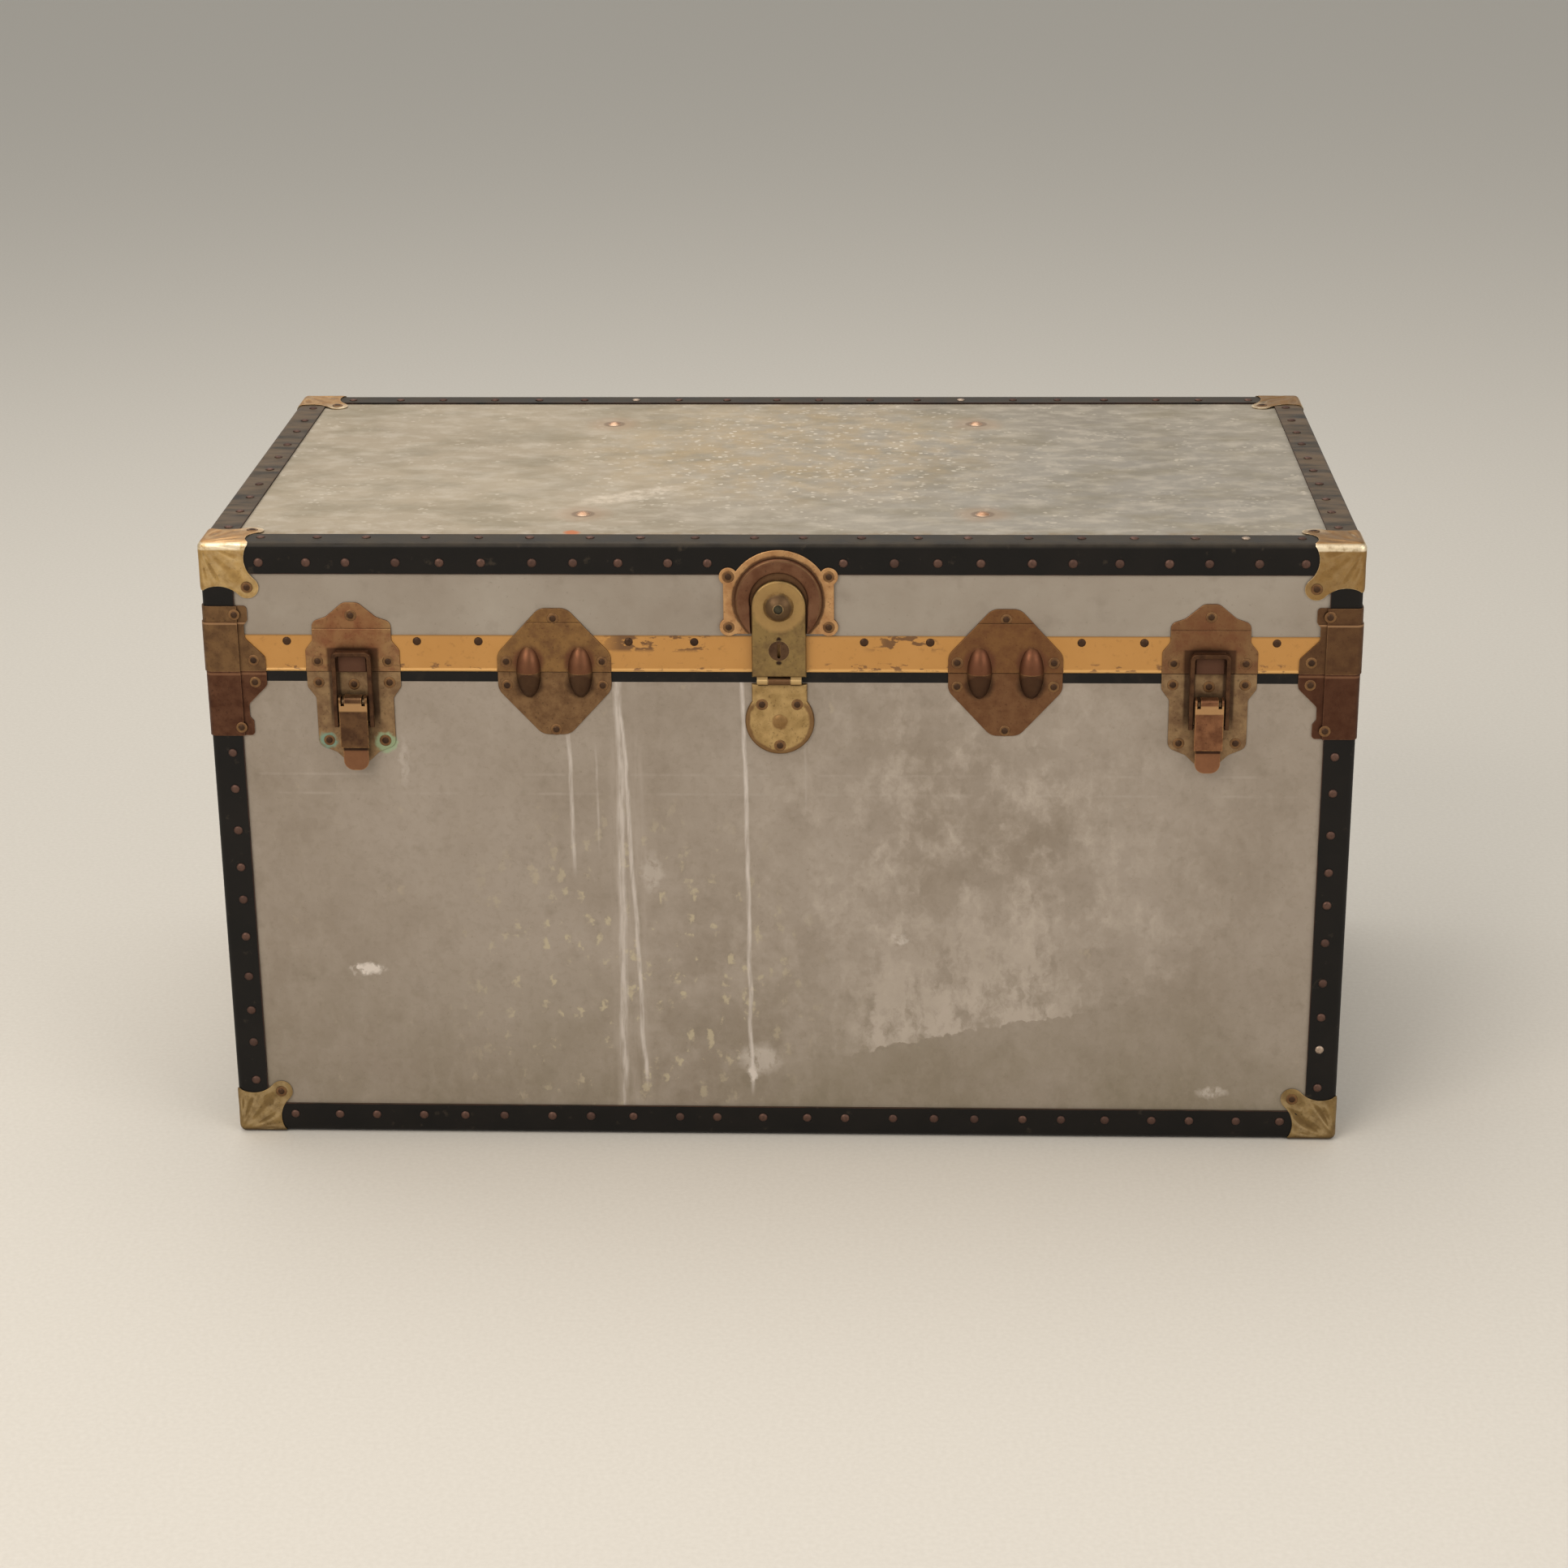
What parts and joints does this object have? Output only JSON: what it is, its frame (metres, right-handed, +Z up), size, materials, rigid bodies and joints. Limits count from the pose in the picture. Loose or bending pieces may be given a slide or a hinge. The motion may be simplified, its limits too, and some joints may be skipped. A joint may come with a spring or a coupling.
{
  "type": "travelling trunk",
  "caption": "Flat-topped metal-clad travelling trunk with black edge bindings, corner caps, draw bolts, a hasp lock, end handles, and a hinged lid held by folding stays.",
  "frame": {"origin": "on the floor under the middle of the case", "axes": "+X along the front to the right, +Y from the front to the back, +Z up; the front with the lock faces -Y"},
  "size_m": [0.965, 0.504, 0.5144],
  "materials": {
    "plywood": "raw",
    "aluminium_sheet": "dull, oxidised",
    "paper_lining": "matt paper",
    "fibre_binding": "worn black vulcanised fibre",
    "gold_lacquer": "gold lacquer, chipped",
    "black_lacquer": "black lacquer",
    "brass_cap": "worn brass plate",
    "coppered_steel": "tarnished copper plate",
    "brassed_steel": "tarnished brass plate",
    "dark_steel": "dark, oxidised",
    "plain_steel": "dull, lightly rusted",
    "strap_leather": "worn",
    "copper_nail": "dull copper"
  },
  "bodies": {
    "base": {"base_front_board": "plywood", "base_back_board": "plywood", "base_left_board": "plywood", "base_right_board": "plywood", "base_floor_board": "plywood", "base_front_sheet": "aluminium_sheet", "base_back_sheet": "aluminium_sheet", "base_end_sheets": "aluminium_sheet", "base_floor_sheet": "aluminium_sheet", "base_lining": "paper_lining", "base_bottom_bindings": "fibre_binding", "base_corner_bindings": "fibre_binding", "base_rim_strip": "black_lacquer", "base_corner_caps": "brass_cap", "base_clamps": "coppered_steel", "drawbolt_keepers": "coppered_steel", "base_dowel_plates": "brassed_steel", "lock_base_plate": "brassed_steel", "hinge_base_leaves": "plain_steel", "pivot_pins": "plain_steel", "handle_straps": "strap_leather", "handle_caps": "plain_steel", "stay_base_brackets": "plain_steel", "base_binding_nails": "copper_nail", "base_fitting_nails": "copper_nail"},
    "lid": {"lid_front_board": "plywood", "lid_back_board": "plywood", "lid_left_board": "plywood", "lid_right_board": "plywood", "lid_top_board": "plywood", "lid_front_sheet": "aluminium_sheet", "lid_back_sheet": "aluminium_sheet", "lid_end_sheets": "aluminium_sheet", "lid_top_sheet": "aluminium_sheet", "lid_lining": "paper_lining", "lid_battens": "plywood", "lid_rivets": "copper_nail", "lid_top_bindings": "fibre_binding", "lid_corner_bindings": "fibre_binding", "lid_band": "gold_lacquer", "lid_corner_caps": "brass_cap", "lid_clamps": "coppered_steel", "drawbolt_catches": "coppered_steel", "lid_dowel_plates": "brassed_steel", "lock_plate": "brassed_steel", "hinge_lid_leaves": "plain_steel", "stay_lid_brackets": "plain_steel", "lid_binding_nails": "copper_nail", "lid_fitting_nails": "copper_nail"},
    "lever_left": {"drawbolt_lever_left": "coppered_steel"},
    "loop_left": {"drawbolt_loop_left": "coppered_steel"},
    "lever_right": {"drawbolt_lever_right": "coppered_steel"},
    "loop_right": {"drawbolt_loop_right": "coppered_steel"},
    "hasp": {"hasp": "brassed_steel"},
    "release_button": {"release_button": "dark_steel"},
    "keyhole_drum": {"keyhole_drum": "dark_steel"},
    "stay_upper_arm_left": {"stay_upper_arm_left": "plain_steel"},
    "stay_lower_arm_left": {"stay_lower_arm_left": "plain_steel"},
    "stay_upper_arm_right": {"stay_upper_arm_right": "plain_steel"},
    "stay_lower_arm_right": {"stay_lower_arm_right": "plain_steel"}
  },
  "joints": [
    {"name": "lid_hinge", "type": "hinge", "parent": "base", "child": "lid", "pos_m": [0, 0.2465, 0.40715], "axis": [-1, 0, 0], "range_deg": [0, 100]},
    {"name": "lever_left_pivot", "type": "hinge", "parent": "base", "child": "lever_left", "pos_m": [-0.3387, -0.249, 0.384], "axis": [-1, 0, 0], "range_deg": [0, 130]},
    {"name": "loop_left_pivot", "type": "hinge", "parent": "lever_left", "child": "loop_left", "pos_m": [-0.3387, -0.25, 0.366], "axis": [-1, 0, 0], "range_deg": [-162.5, 0]},
    {"name": "lever_right_pivot", "type": "hinge", "parent": "base", "child": "lever_right", "pos_m": [0.3387, -0.249, 0.384], "axis": [-1, 0, 0], "range_deg": [0, 130]},
    {"name": "loop_right_pivot", "type": "hinge", "parent": "lever_right", "child": "loop_right", "pos_m": [0.3387, -0.25, 0.366], "axis": [-1, 0, 0], "range_deg": [-162.5, 0]},
    {"name": "hasp_hinge", "type": "hinge", "parent": "base", "child": "hasp", "pos_m": [0, -0.2448, 0.401], "axis": [1, 0, 0], "range_deg": [0, 160]},
    {"name": "button_slide", "type": "slide", "parent": "hasp", "child": "release_button", "axis": [0, 1, 0], "range_m": [0, 0.003], "stiffness_N_per_m": 400},
    {"name": "drum_turn", "type": "hinge", "parent": "hasp", "child": "keyhole_drum", "pos_m": [0, -0.2454, 0.4267], "axis": [0, -1, 0], "range_deg": [0, 90]},
    {"name": "stay_upper_left_pivot", "type": "hinge", "parent": "lid", "child": "stay_upper_arm_left", "pos_m": [-0.4406, 0.16923, 0.42786], "axis": [-1, 0, 0], "range_deg": [-100, 0]},
    {"name": "stay_lower_left_pivot", "type": "hinge", "parent": "base", "child": "stay_lower_arm_left", "pos_m": [-0.4406, 0.1475, 0.30816], "axis": [-1, 0, 0], "range_deg": [0, 100]},
    {"name": "stay_upper_right_pivot", "type": "hinge", "parent": "lid", "child": "stay_upper_arm_right", "pos_m": [0.4406, 0.16923, 0.42786], "axis": [-1, 0, 0], "range_deg": [-100, 0]},
    {"name": "stay_lower_right_pivot", "type": "hinge", "parent": "base", "child": "stay_lower_arm_right", "pos_m": [0.4406, 0.1475, 0.30816], "axis": [-1, 0, 0], "range_deg": [0, 100]}
  ],
  "couplings": [
    {"joint": "loop_left_pivot", "follows": "lever_left_pivot", "ratio": -1.25},
    {"joint": "loop_right_pivot", "follows": "lever_right_pivot", "ratio": -1.25},
    {"joint": "stay_upper_left_pivot", "follows": "lid_hinge", "ratio": -1},
    {"joint": "stay_lower_left_pivot", "follows": "lid_hinge", "ratio": 1},
    {"joint": "stay_upper_right_pivot", "follows": "lid_hinge", "ratio": -1},
    {"joint": "stay_lower_right_pivot", "follows": "lid_hinge", "ratio": 1}
  ]
}
